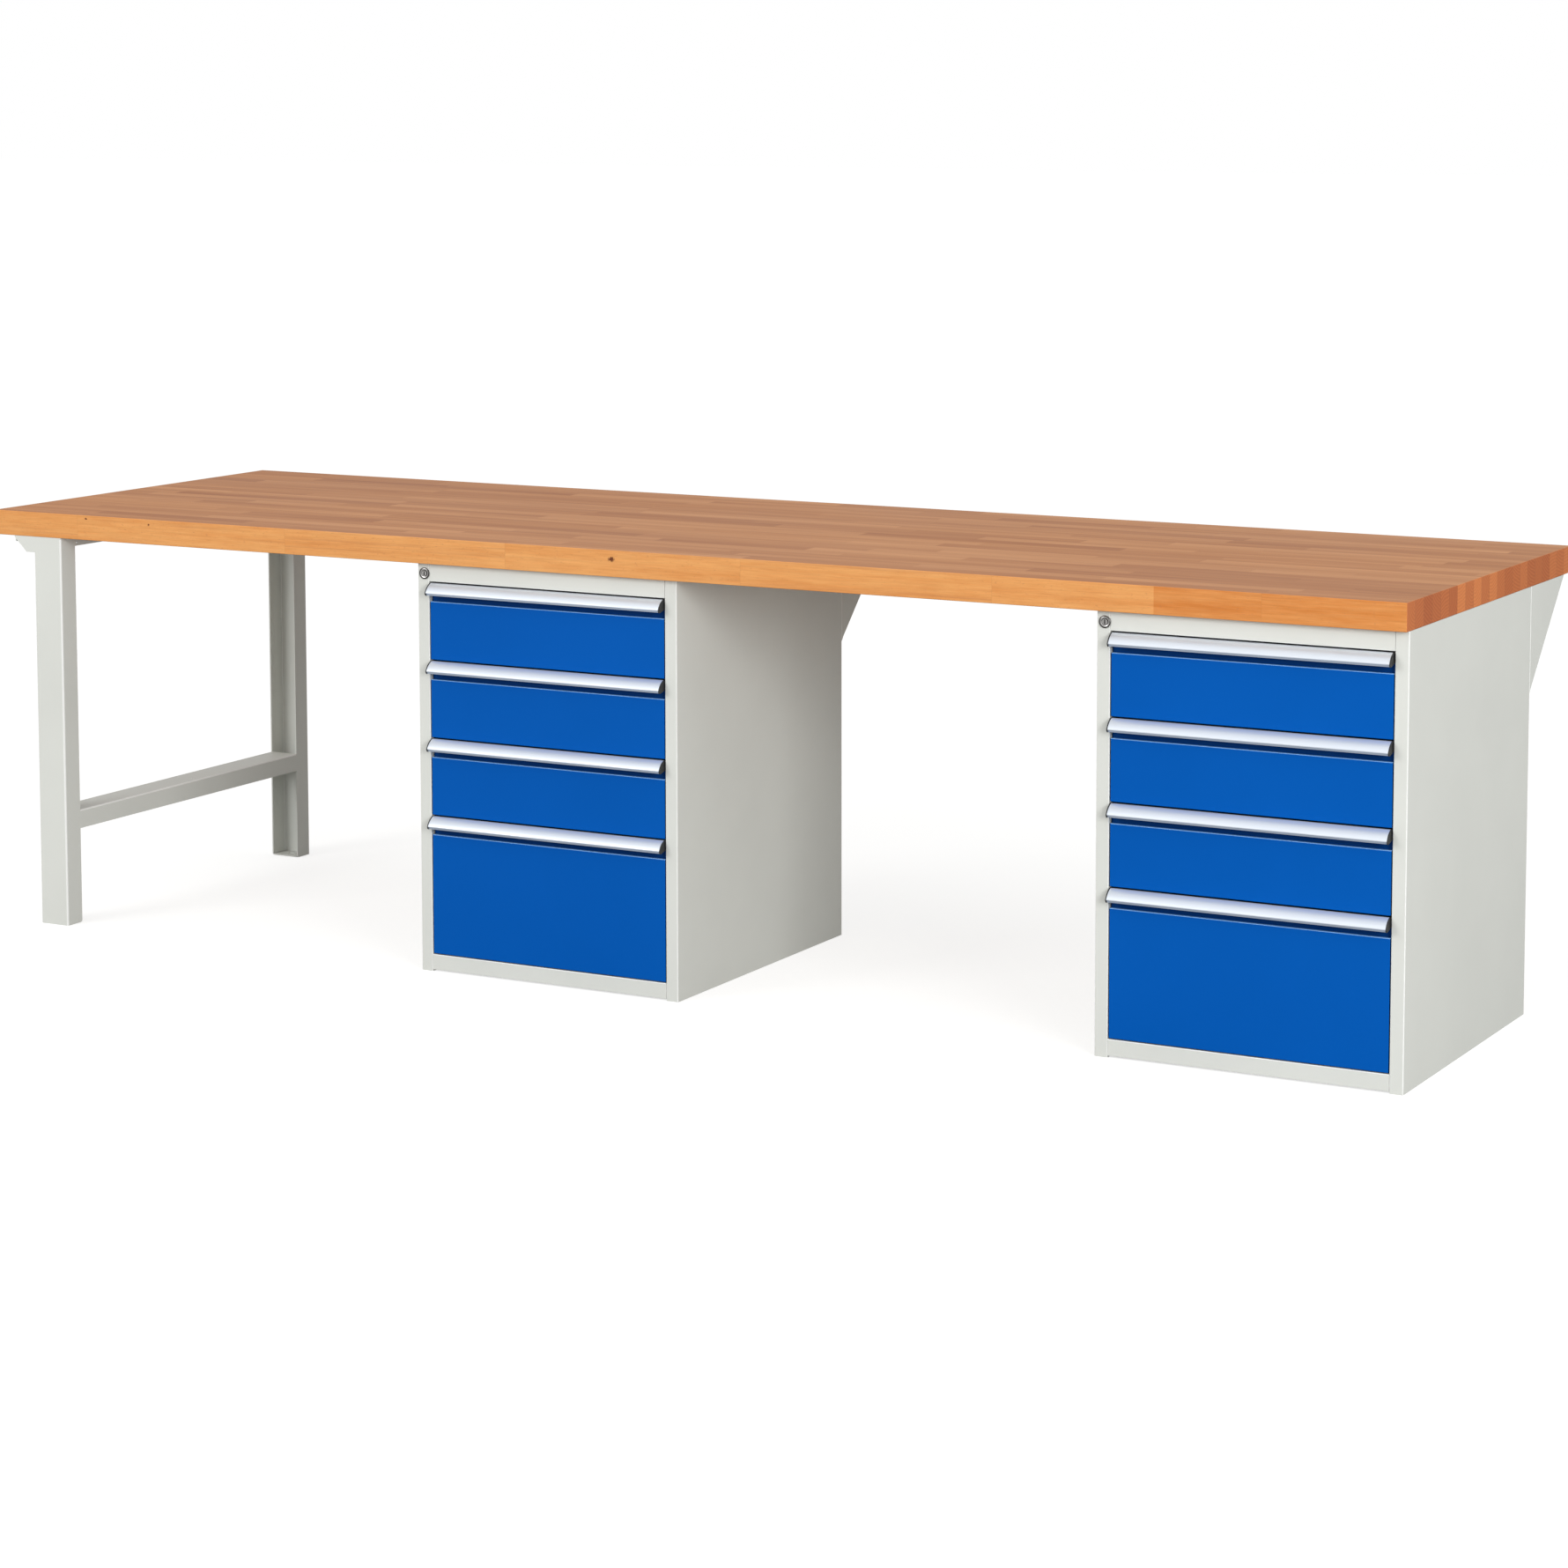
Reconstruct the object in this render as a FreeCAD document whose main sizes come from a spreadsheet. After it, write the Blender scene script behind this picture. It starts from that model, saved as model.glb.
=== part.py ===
import FreeCAD, Part
import math
import os
from types import SimpleNamespace

import Sketcher

# Workbench: a thick beech top on a left-hand leg frame and two steel drawer cabinets.
# Frame: +X along the bench, +Y to the back, +Z up; the floor is Z = 0 and the origin is the
# middle of the bench's outline. Lengths are in millimetres.

DIMENSIONS = [
    # alias, value, what it is
    ("bench_length", 3000, "worktop along X"),
    ("bench_depth", 900, "worktop along Y"),
    ("bench_height", 840, "floor to top of worktop"),
    ("top_thickness", 50, "worktop board"),
    ("top_arris", 1.5, "softened edges of the board"),
    ("leg_sheet", 3, "steel of legs, bearer and cross rail"),
    ("leg_inset", 96, "worktop's left end to the legs"),
    ("leg_width", 68, "leg along X"),
    ("leg_depth", 45, "leg along Y"),
    ("leg_setback", 1, "worktop's front edge to the front leg"),
    ("leg_frame_depth", 831, "front of front leg to back of rear leg"),
    ("leg_bend", 4, "outer bend radius of legs and cross rail"),
    ("leg_inner_bend", 1, "inner bend radius of the legs"),
    ("leg_toe", 5, "rounded lower corners of the leg flanges"),
    ("foot_gap", 0.5, "foot plate to leg"),
    ("anchor_radius", 5.5, "anchor hole in a foot plate"),
    ("cross_rail_low", 193, "underside of cross rail"),
    ("cross_rail_high", 231, "top of cross rail"),
    ("shelf_hole_radius", 3, "holes in the cross rail's top"),
    ("shelf_hole_inset", 16, "cross rail's side to its shelf holes"),
    ("shelf_hole_middle", 434, "front leg to the pair of shelf holes"),
    ("shelf_hole_rear", 765, "front leg to the single shelf hole"),
    ("bearer_wing", 49, "bearer's reach outside the legs at the top"),
    ("bearer_toe", 19, "bearer's reach outside the legs at the bottom"),
    ("bearer_drop", 32, "height of the bearer's end plates"),
    ("bearer_flange", 20, "height of the bearer's inner flange"),
    ("bearer_lip", 12, "height of the bearer's outer lip"),
    ("plate_seam", 5, "inner edge of the legs to the end plates"),
    ("panel_hole_radius", 2.5, "holes in the bearer's inner flange"),
    ("panel_hole_inset", 6, "bearer's underside flange edge to its holes"),
    ("panel_hole_end", 52, "leg frame's ends to the flange holes"),
    ("cabinet_width", 570, "cabinet along X"),
    ("cabinet_depth", 650, "cabinet along Y"),
    ("cabinet_setback", 15, "worktop's front edge to the cabinet fronts"),
    ("left_cabinet", 1015, "worktop's left end to the left cabinet"),
    ("sheet", 1.5, "steel of the cabinets and drawer fronts"),
    ("sheet_bend", 2, "outer bend radius of the cabinet sheet"),
    ("fold_bend", 1.4, "outer bend radius of small folds"),
    ("jamb_width", 25, "front flange of a side panel"),
    ("jamb_lip", 12, "return lip behind a jamb"),
    ("rear_flange", 15, "rear flange of a side panel"),
    ("seam", 0.4, "joint between a jamb and a front rail"),
    ("rail_lip", 15, "return flange of the front rails"),
    ("bottom_rail_low", 3, "floor to bottom rail"),
    ("bottom_rail_high", 33, "floor to top of bottom rail"),
    ("top_rail_low", 755, "floor to underside of top rail"),
    ("gusset_low", 594, "floor to lower tip of the gusset"),
    ("gusset_step", 5, "blunt tip of the gusset along Y"),
    ("gusset_rise", 8, "blunt tip of the gusset along Z"),
    ("gusset_reach", 193, "gusset behind the cabinet"),
    ("first_drawer_top", 755, "floor to top of the top drawer"),
    ("small_pitch", 150, "height taken by each of the upper drawers"),
    ("large_pitch", 270, "height taken by the bottom drawer"),
    ("side_reveal", 2, "gap between a drawer front and a jamb"),
    ("front_inset", 0.5, "drawer front behind the faces of the jambs"),
    ("fold_drop", 38.5, "drawer top to the fold of its front"),
    ("recess_depth", 9, "finger recess behind the jambs"),
    ("front_hem", 10, "depth of a drawer front's side and bottom returns"),
    ("plate_drop", 5, "drawer top to the top of its recess plate"),
    ("cap_thickness", 2, "room for the end cap at each end of a grip"),
    ("grip_reach", 18, "tip of a grip ahead of the jambs"),
    ("grip_wall", 2, "wall of the grip section"),
    ("grip_top", 2.5, "gap between a grip and the front or rail above it"),
    ("grip_nose", 19.5, "drawer top to the tip of its grip"),
    ("grip_lip", 25, "drawer top to the bottom of its grip"),
    ("grip_curve", 34, "radius of the grip's outer face"),
    ("grip_shoulder", 1, "start of the curve behind the jambs"),
    ("grip_flange", 20, "mounting flange of a grip"),
    ("tray_sheet", 1.2, "steel of the trays"),
    ("tray_inset", 37, "cabinet's side to the tray"),
    ("tray_end", 620, "cabinet front to the back of the tray"),
    ("tray_drop", 32, "drawer top to the tray's rim"),
    ("tray_lift", 8, "bottom edge of the front to the tray's floor"),
    ("runner_drop", 95, "drawer top to the middle of its runners"),
    ("fixed_half", 21.5, "half height of a fixed runner"),
    ("fixed_reach", 33, "cabinet's side to the lips of a fixed runner"),
    ("fixed_start", 34, "cabinet front to the fixed runners"),
    ("fixed_length", 600, "fixed runner"),
    ("mid_half", 18.5, "half height of a middle runner"),
    ("mid_near", 27.5, "cabinet's side to a middle runner"),
    ("mid_far", 34.5, "cabinet's side to the lips of a middle runner"),
    ("mid_start", 36, "cabinet front to the middle runners"),
    ("mid_length", 580, "middle runner"),
    ("inner_half", 15, "half height of a tray's own runner"),
    ("inner_near", 31, "cabinet's side to a tray's own runner"),
    ("catch_near", 30, "cabinet's side to a tray's catch"),
    ("catch_start", 32, "cabinet front to a tray's catch"),
    ("catch_length", 4, "catch along Y"),
    ("catch_drop", 53, "drawer top to the bottom of its catch"),
    ("catch_height", 10, "catch and lock bar tab along Z"),
    ("lock_inset", 15.5, "cabinet's side to the lock"),
    ("lock_level", 770, "floor to the lock"),
    ("lock_flange", 11, "radius of the lock's rim"),
    ("lock_rim", 2, "thickness of the lock's rim"),
    ("lock_body", 7.8, "radius of the lock's body"),
    ("lock_length", 21, "lock body behind the jamb"),
    ("plug_radius", 5.5, "turning plug of the lock"),
    ("plug_clearance", 0.05, "plug to barrel"),
    ("plug_proud", 0.4, "plug ahead of the lock's rim"),
    ("plug_length", 23, "plug behind the jamb"),
    ("key_slot_width", 1.4, "key slot"),
    ("key_slot_height", 7.4, "key slot"),
    ("key_slot_depth", 6, "key slot"),
    ("crank_radius", 8, "plug's axis to its crank pin, and the lock bar's travel"),
    ("crank_half", 3, "half height of the crank arm"),
    ("crank_thickness", 3, "crank arm along Y"),
    ("pin_radius", 1.8, "crank pin"),
    ("pin_length", 4.5, "crank pin"),
    ("bar_near", 3, "cabinet's side to the lock bar"),
    ("bar_far", 21, "cabinet's side to the lock bar's other edge"),
    ("bar_start", 28, "cabinet front to the lock bar"),
    ("bar_thickness", 2, "lock bar"),
    ("bar_low", 225, "floor to the lock bar"),
    ("bar_high", 777, "floor to the top of the lock bar"),
    ("tab_far", 33, "cabinet's side to the tips of the lock bar's tabs"),
    ("tab_drop", 66, "drawer top to the bottom of its tab"),
    ("window_gap", 0.5, "crank pin to the lock bar's window"),
    ("window_rise", 1.9, "room above the crank pin for its arc"),
    ("screw_radius", 3, "shank of a worktop screw"),
    ("screw_head", 5.8, "worktop screw head across its corners, halved"),
    ("screw_head_height", 4, "worktop screw head"),
    ("screw_grip", 35, "worktop screw into the wood"),
    ("screw_side", 80, "cabinet's side to its worktop screws"),
    ("screw_front", 80, "cabinet's front and back to its worktop screws"),
    ("screw_gusset", 95, "cabinet's back to its gusset's screws"),
    ("screw_bearer", 34, "legs' outer side to the bearer's screws"),
    ("screw_bearer_end", 80, "leg frame's ends to the bearer's outer screws"),
]
DRAWERS = 4
TOUCH = 1e-4

doc = FreeCAD.newDocument("workbench")


class Size:
    """A length that knows its value now and the expression that gives it from the sheet."""

    def __init__(self, value, text=""):
        self.value = float(value)
        self.text = text or repr(float(value))

    def __add__(self, other):
        other = as_size(other)
        return Size(self.value + other.value, f"({self.text} + {other.text})")

    def __sub__(self, other):
        other = as_size(other)
        return Size(self.value - other.value, f"({self.text} - {other.text})")

    def __mul__(self, factor):
        return Size(self.value * factor, f"({self.text} * {factor})")

    def __neg__(self):
        return Size(-self.value, f"(0 - {self.text})")


def as_size(length):
    return length if isinstance(length, Size) else Size(length)


def fill_sheet():
    """Write the driving dimensions into the spreadsheet and return them as sizes by name."""
    sheet = doc.addObject("Spreadsheet::Sheet", "Sizes")
    sizes = {}
    for row, (alias, value, meaning) in enumerate(DIMENSIONS, start=1):
        sheet.set(f"A{row}", alias)
        sheet.set(f"B{row}", str(value))
        sheet.setAlias(f"B{row}", alias)
        sheet.set(f"C{row}", meaning)
        sizes[alias] = Size(value, f"Sizes.{alias}")
    doc.recompute()
    return SimpleNamespace(**sizes)


d = fill_sheet()
ZERO = Size(0)
FRAME_HEIGHT = d.bench_height - d.top_thickness
OVERHANG = d.grip_reach - d.cabinet_setback
BENCH_LEFT = -(d.bench_length * 0.5)
BENCH_FRONT = (OVERHANG - d.bench_depth) * 0.5
LEGS_AT = (BENCH_LEFT + d.leg_inset, BENCH_FRONT + d.leg_setback, ZERO)
CABINET_LEFT = {"left": d.left_cabinet, "right": d.bench_length - d.cabinet_width}
FLAT_INSIDE = d.cabinet_depth - d.sheet * 2


def bind(item, prop, length):
    """Set a property of an object to a size, by expression."""
    item.setExpression(prop, as_size(length).text)


def place(item, at):
    for axis, length in zip("xyz", at):
        bind(item, f"Placement.Base.{axis}", length)


def new_body(node, at):
    """A PartDesign body that becomes one sub-part, at its place in the bench."""
    body = doc.addObject("PartDesign::Body", node)
    body.Label = node
    place(body, at)
    return body


def origin_feature(body, role):
    return next(item for item in body.Origin.OriginFeatures if item.Role == role)


def new_sketch(body, plane, start=ZERO):
    """A sketch on one of the body's origin planes, moved along that plane's own axis."""
    sketch = body.newObject("Sketcher::SketchObject", f"{body.Name}_sketch")
    sketch.AttachmentSupport = [(origin_feature(body, plane), "")]
    sketch.MapMode = "FlatFace"
    start = as_size(start)
    if start.value:
        bind(sketch, "AttachmentOffset.Base.z", -start if plane == "XZ_Plane" else start)
    return sketch


def hold(sketch, item, end, spot):
    """Fix one point of the sketch at a spot given by two sizes."""
    for kind, axis, length in (("DistanceX", -2, spot[0]), ("DistanceY", -1, spot[1])):
        length = as_size(length)
        if length.value == 0:
            sketch.addConstraint(Sketcher.Constraint("PointOnObject", item, end, axis))
            continue
        ahead = length.value > 0
        ends = (-1, 1, item, end) if ahead else (item, end, -1, 1)
        number = sketch.addConstraint(Sketcher.Constraint(kind, *ends, abs(length.value)))
        sketch.setExpression(f"Constraints[{number}]", length.text if ahead else (-length).text)


def hold_radius(sketch, item, radius):
    number = sketch.addConstraint(Sketcher.Constraint("Radius", item, radius.value))
    sketch.setExpression(f"Constraints[{number}]", radius.text)


def flat_point(spot):
    return FreeCAD.Vector(as_size(spot[0]).value, as_size(spot[1]).value, 0)


def arc_to_left(start, end, radius):
    """The short arc from start to end, turning left."""
    chord = end - start
    to_centre = FreeCAD.Vector(-chord.y, chord.x, 0).normalize()
    centre = (start + end) * 0.5 + to_centre * math.sqrt(radius**2 - chord.Length**2 / 4)
    first, last = (math.atan2(p.y - centre.y, p.x - centre.x) for p in (start, end))
    circle = Part.Circle(centre, FreeCAD.Vector(0, 0, 1), radius)
    return Part.ArcOfCircle(circle, first, last if last > first else last + 2 * math.pi)


def outline(sketch, corners):
    """Draw a closed outline. A third entry in a corner is the radius of the arc to the next."""
    first = sketch.GeometryCount
    total = len(corners)
    for number, corner in enumerate(corners):
        start, end = flat_point(corner), flat_point(corners[(number + 1) % total])
        if len(corner) == 3:
            sketch.addGeometry(arc_to_left(start, end, corner[2].value))
            hold_radius(sketch, first + number, corner[2])
        else:
            sketch.addGeometry(Part.LineSegment(start, end))
    for number, corner in enumerate(corners):
        item, following = first + number, first + (number + 1) % total
        sketch.addConstraint(Sketcher.Constraint("Coincident", item, 2, following, 1))
        hold(sketch, item, 1, corner[:2])


def rectangle(sketch, low, high):
    outline(sketch, [low, (high[0], low[1]), high, (low[0], high[1])])


def circles(sketch, spots, radius):
    for spot in spots:
        centre = flat_point(spot)
        item = sketch.addGeometry(Part.Circle(centre, FreeCAD.Vector(0, 0, 1), radius.value))
        hold(sketch, item, 3, spot)
        hold_radius(sketch, item, radius)


def pad(body, sketch, length):
    """Thicken a sketch along its plane's axis, towards the positive side."""
    feature = body.newObject("PartDesign::Pad", f"{body.Name}_pad")
    feature.Profile = sketch
    feature.Reversed = "XZ_Plane" in sketch.AttachmentSupport[0][0].Name
    bind(feature, "Length", length)
    return feature


def pocket(body, sketch, length):
    """Cut a sketch out along its plane's axis, towards the positive side."""
    doc.recompute()
    before = body.Shape.Volume
    feature = body.newObject("PartDesign::Pocket", f"{body.Name}_pocket")
    feature.Profile = sketch
    feature.Reversed = "XZ_Plane" not in sketch.AttachmentSupport[0][0].Name
    bind(feature, "Length", length)
    doc.recompute()
    if body.Shape.Volume >= before - TOUCH:
        raise RuntimeError(f"{feature.Name} cuts nothing")


def revolve(body, sketch):
    """Turn a sketch once round the vertical axis of its own plane."""
    feature = body.newObject("PartDesign::Revolution", f"{body.Name}_turned")
    feature.Profile = sketch
    feature.ReferenceAxis = (sketch, ["V_Axis"])
    feature.Angle = 360


def repeat_up(body, feature, pitch):
    """Repeat a feature up the cabinet, once for each drawer."""
    pattern = body.newObject("PartDesign::LinearPattern", f"{body.Name}_repeated")
    pattern.Originals = [feature]
    pattern.Direction = (origin_feature(body, "Z_Axis"), [""])
    pattern.Occurrences = DRAWERS
    bind(pattern, "Length", pitch * (DRAWERS - 1))
    body.Tip = pattern


def edges_along(shape, axis, spots):
    """Names of the straight edges along an axis that pass through one of the spots."""
    across = [index for index in range(3) if index != "xyz".index(axis)]
    wanted = [[as_size(length).value for length in spot] for spot in spots]
    names = []
    for number, edge in enumerate(shape.Edges, start=1):
        ends = [[vertex.Point[index] for index in across] for vertex in edge.Vertexes]
        if any(math.dist(ends[0], spot) < TOUCH > math.dist(ends[-1], spot) for spot in wanted):
            names.append(f"Edge{number}")
    return names


def round_edges(body, axis, spots, radius):
    """Fillet the edges along an axis that pass through the given spots."""
    doc.recompute()
    base = body.Tip
    names = edges_along(base.Shape, axis, spots)
    if not names:
        raise RuntimeError(f"{body.Name} has no such edge")
    feature = body.newObject("PartDesign::Fillet", f"{body.Name}_fillet")
    feature.Base = (base, names)
    bind(feature, "Radius", radius)


def screw_spots():
    """Where the worktop screws stand, from the worktop's front left corner, by what they hold."""
    frame_row = d.leg_inset + d.screw_bearer
    first = d.leg_setback + d.screw_bearer_end
    span = d.leg_frame_depth - d.screw_bearer_end * 2
    spots = {"bearer": [(frame_row, first + span * (step / 3)) for step in range(4)]}
    for side, left in CABINET_LEFT.items():
        columns = (left + d.screw_side, left + d.cabinet_width - d.screw_side)
        front = d.cabinet_setback + d.screw_front
        back = d.cabinet_setback + d.cabinet_depth - d.screw_front
        gusset = d.cabinet_setback + d.cabinet_depth + d.screw_gusset
        spots[f"{side}_lid"] = [(column, row) for column in columns for row in (front, back)]
        spots[f"{side}_gusset"] = [(column, gusset) for column in columns]
    return spots


SCREWS = screw_spots()


def screw_holes(body, holds, shift, level, thickness):
    """Drill the screws' clearance holes through a plate that lies under the worktop."""
    holes = new_sketch(body, "XY_Plane", level)
    spots = [(column - shift[0], row - shift[1]) for column, row in SCREWS[holds]]
    circles(holes, spots, d.screw_radius)
    pocket(body, holes, thickness)


def make_worktop():
    """Solid beech board with softened edges and blind pilot holes underneath."""
    body = new_body("worktop", (BENCH_LEFT, BENCH_FRONT, FRAME_HEIGHT))
    board = new_sketch(body, "XY_Plane")
    rectangle(board, (ZERO, ZERO), (d.bench_length, d.bench_depth))
    pad(body, board, d.top_thickness)
    doc.recompute()
    base = body.Tip
    every_edge = [f"Edge{number + 1}" for number in range(len(base.Shape.Edges))]
    softened = body.newObject("PartDesign::Fillet", "worktop_arris")
    softened.Base = (base, every_edge)
    bind(softened, "Radius", d.top_arris)
    holes = new_sketch(body, "XY_Plane")
    circles(holes, [spot for spots in SCREWS.values() for spot in spots], d.screw_radius)
    pocket(body, holes, d.screw_grip)


def make_worktop_screws():
    """Hexagon-head wood screws, driven up through the steel plates into the worktop."""
    screws = []
    for holds, spots in SCREWS.items():
        plate = d.leg_sheet if holds == "bearer" else d.sheet
        for number, (column, row) in enumerate(spots, start=1):
            head = doc.addObject("Part::Prism", f"{holds}_screw_head_{number}")
            head.Polygon = 6
            bind(head, "Circumradius", d.screw_head)
            bind(head, "Height", d.screw_head_height)
            head_low = FRAME_HEIGHT - plate - d.screw_head_height
            place(head, (BENCH_LEFT + column, BENCH_FRONT + row, head_low))
            shank = doc.addObject("Part::Cylinder", f"{holds}_screw_shank_{number}")
            bind(shank, "Radius", d.screw_radius)
            bind(shank, "Height", plate + d.screw_grip)
            place(shank, (BENCH_LEFT + column, BENCH_FRONT + row, FRAME_HEIGHT - plate))
            screw = doc.addObject("Part::Fuse", f"{holds}_screw_{number}")
            screw.Base = head
            screw.Tool = shank
            screws.append(screw)
    group = doc.addObject("Part::Compound", "worktop_screws")
    group.Label = "worktop_screws"
    group.Links = screws


def make_leg(node, at_rear):
    """Folded channel leg, open towards the other leg, notched for the bearer's end plate."""

    def across(length):
        return d.leg_frame_depth - length if at_rear else as_size(length)

    wall, width, depth = d.leg_sheet, d.leg_width, d.leg_depth
    body = new_body(node, LEGS_AT)
    section = new_sketch(body, "XY_Plane")
    corners = [
        (ZERO, ZERO),
        (width, ZERO),
        (width, depth),
        (width - wall, depth),
        (width - wall, wall),
        (wall, wall),
        (wall, depth),
        (ZERO, depth),
    ]
    outline(section, [(x, across(y)) for x, y in corners])
    pad(body, section, FRAME_HEIGHT - wall)
    round_edges(body, "z", [(ZERO, across(ZERO)), (width, across(ZERO))], d.leg_bend)
    inner = [(wall, across(wall)), (width - wall, across(wall))]
    round_edges(body, "z", inner, d.leg_inner_bend)
    round_edges(body, "x", [(across(depth), ZERO)], d.leg_toe)
    notch = new_sketch(body, "XZ_Plane", across(wall) if at_rear else ZERO)
    low = FRAME_HEIGHT - d.bearer_drop
    rectangle(notch, (-wall, low), (width - d.plate_seam, FRAME_HEIGHT))
    pocket(body, notch, wall)


def make_leg_foot_plates():
    """Plates welded into the feet, each with a hole for a floor anchor."""
    body = new_body("leg_foot_plates", LEGS_AT)
    plates = new_sketch(body, "XY_Plane")
    near, far = d.leg_sheet + d.foot_gap, d.leg_width - d.leg_sheet - d.foot_gap
    rear = d.leg_frame_depth - d.leg_depth
    rectangle(plates, (near, near), (far, d.leg_depth))
    rectangle(plates, (near, rear), (far, d.leg_frame_depth - near))
    middle = d.leg_depth * 0.5
    centres = [(d.leg_width * 0.5, middle), (d.leg_width * 0.5, d.leg_frame_depth - middle)]
    circles(plates, centres, d.anchor_radius)
    pad(body, plates, d.leg_sheet)


def make_leg_cross_rail():
    """Folded rail, open below, butted between the legs' flanges."""
    body = new_body("leg_cross_rail", LEGS_AT)
    wall, width = d.leg_sheet, d.leg_width
    low, high = d.cross_rail_low, d.cross_rail_high
    section = new_sketch(body, "XZ_Plane", d.leg_depth)
    corners = [
        (ZERO, low),
        (ZERO, high),
        (width, high),
        (width, low),
        (width - wall, low),
        (width - wall, high - wall),
        (wall, high - wall),
        (wall, low),
    ]
    outline(section, corners)
    pad(body, section, d.leg_frame_depth - d.leg_depth * 2)
    holes = new_sketch(body, "XY_Plane", high - wall)
    near, far = d.shelf_hole_inset, width - d.shelf_hole_inset
    spots = [(near, d.shelf_hole_middle), (far, d.shelf_hole_middle), (near, d.shelf_hole_rear)]
    circles(holes, spots, d.shelf_hole_radius)
    pocket(body, holes, wall)
    round_edges(body, "y", [(ZERO, high), (width, high)], d.leg_bend)


def make_leg_bearer():
    """Folded bearer on the legs: top plate, inner flange, outer lip and two end plates."""
    body = new_body("leg_bearer", LEGS_AT)
    wall, width, depth = d.leg_sheet, d.leg_width, d.leg_frame_depth
    high = FRAME_HEIGHT - wall
    low = FRAME_HEIGHT - d.bearer_drop
    plate = new_sketch(body, "XY_Plane", high)
    rectangle(plate, (-d.bearer_wing, ZERO), (width, depth))
    pad(body, plate, wall)
    for start in (ZERO, depth - wall):
        end_plate = new_sketch(body, "XZ_Plane", start)
        seam = width - d.plate_seam
        outline(end_plate, [(-d.bearer_toe, low), (seam, low), (seam, high), (-d.bearer_wing, high)])
        pad(body, end_plate, wall)
    flange = new_sketch(body, "XZ_Plane", d.leg_depth)
    flange_low = FRAME_HEIGHT - d.bearer_flange
    rectangle(flange, (width - wall, flange_low), (width, high))
    pad(body, flange, depth - d.leg_depth * 2)
    lip = new_sketch(body, "XZ_Plane", wall)
    rectangle(lip, (-d.bearer_wing, FRAME_HEIGHT - d.bearer_lip), (wall - d.bearer_wing, high))
    pad(body, lip, depth - wall * 2)
    panel_holes = new_sketch(body, "YZ_Plane", width - wall)
    level = flange_low + d.panel_hole_inset
    rows = (d.panel_hole_end, depth - d.panel_hole_end)
    circles(panel_holes, [(row, level) for row in rows], d.panel_hole_radius)
    pocket(body, panel_holes, wall)
    screw_holes(body, "bearer", (d.leg_inset, d.leg_setback), high, wall)


def mirrored(corners, flip):
    """The corners as they are, or mirrored left to right across the cabinet."""
    if not flip:
        return corners
    return [(d.cabinet_width - x, y) for x, y in corners][::-1]


def make_side(node, at, flip):
    """Folded side panel: front jamb with its return lip, web and rear flange."""
    body = new_body(node, at)
    wall, depth = d.sheet, d.cabinet_depth
    corners = [
        (ZERO, ZERO),
        (d.jamb_width, ZERO),
        (d.jamb_width, d.jamb_lip),
        (d.jamb_width - wall, d.jamb_lip),
        (d.jamb_width - wall, wall),
        (wall, wall),
        (wall, depth - wall),
        (d.rear_flange, depth - wall),
        (d.rear_flange, depth),
        (ZERO, depth),
    ]
    section = new_sketch(body, "XY_Plane")
    outline(section, mirrored(corners, flip))
    pad(body, section, FRAME_HEIGHT)
    if not flip:
        hole = new_sketch(body, "XZ_Plane")
        circles(hole, [(d.lock_inset, d.lock_level)], d.lock_body)
        pocket(body, hole, wall)
    round_edges(body, "z", mirrored([(ZERO, ZERO), (ZERO, depth)], flip), d.sheet_bend)
    round_edges(body, "z", mirrored([(d.jamb_width, ZERO)], flip), d.fold_bend)


def make_front_rail_panel(body, rail_low, rail_high, lip_at_top):
    """Front rail between the jambs folded into a full plate at rail_high."""
    wall = d.sheet
    start = d.jamb_width + d.seam
    section = new_sketch(body, "YZ_Plane", start)
    corners = [
        (ZERO, rail_low),
        (ZERO, rail_high),
        (FLAT_INSIDE, rail_high),
        (FLAT_INSIDE, rail_high - wall),
        (wall, rail_high - wall),
        (wall, rail_low + wall),
        (d.rail_lip, rail_low + wall),
        (d.rail_lip, rail_low),
    ]
    outline(section, corners)
    pad(body, section, d.cabinet_width - start * 2)
    wings = new_sketch(body, "XY_Plane", rail_high - wall)
    low = (wall, d.rail_lip)
    high = (start, FLAT_INSIDE)
    rectangle(wings, low, high)
    rectangle(wings, (d.cabinet_width - start, d.rail_lip), (d.cabinet_width - wall, FLAT_INSIDE))
    pad(body, wings, wall)
    bends = [(ZERO, rail_low)] if lip_at_top else [(ZERO, rail_low), (ZERO, rail_high)]
    round_edges(body, "x", bends, d.fold_bend)


def make_back(node, at):
    """Flat back panel inside the side panels' rear flanges."""
    body = new_body(node, at)
    panel = new_sketch(body, "XZ_Plane", FLAT_INSIDE)
    rectangle(panel, (d.sheet, d.bottom_rail_low), (d.cabinet_width - d.sheet, FRAME_HEIGHT))
    pad(body, panel, d.sheet)


def make_gusset(node, at):
    """Folded bracket behind the cabinet: plate, top flange and two tapering cheeks."""
    body = new_body(node, at)
    start, low = d.cabinet_depth, d.gusset_low
    side = new_sketch(body, "YZ_Plane")
    tip = (start + d.gusset_step, low + d.gusset_rise)
    top = (start + d.gusset_reach, FRAME_HEIGHT)
    outline(side, [(start, low), tip, top, (start, FRAME_HEIGHT)])
    pad(body, side, d.cabinet_width)
    hollow = new_sketch(body, "YZ_Plane", d.sheet)
    beyond = (start + d.gusset_reach, low)
    rectangle(hollow, (start + d.sheet, FRAME_HEIGHT - d.sheet), beyond)
    pocket(body, hollow, d.cabinet_width - d.sheet * 2)
    round_edges(body, "z", [(ZERO, start), (d.cabinet_width, start)], d.fold_bend)


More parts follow.
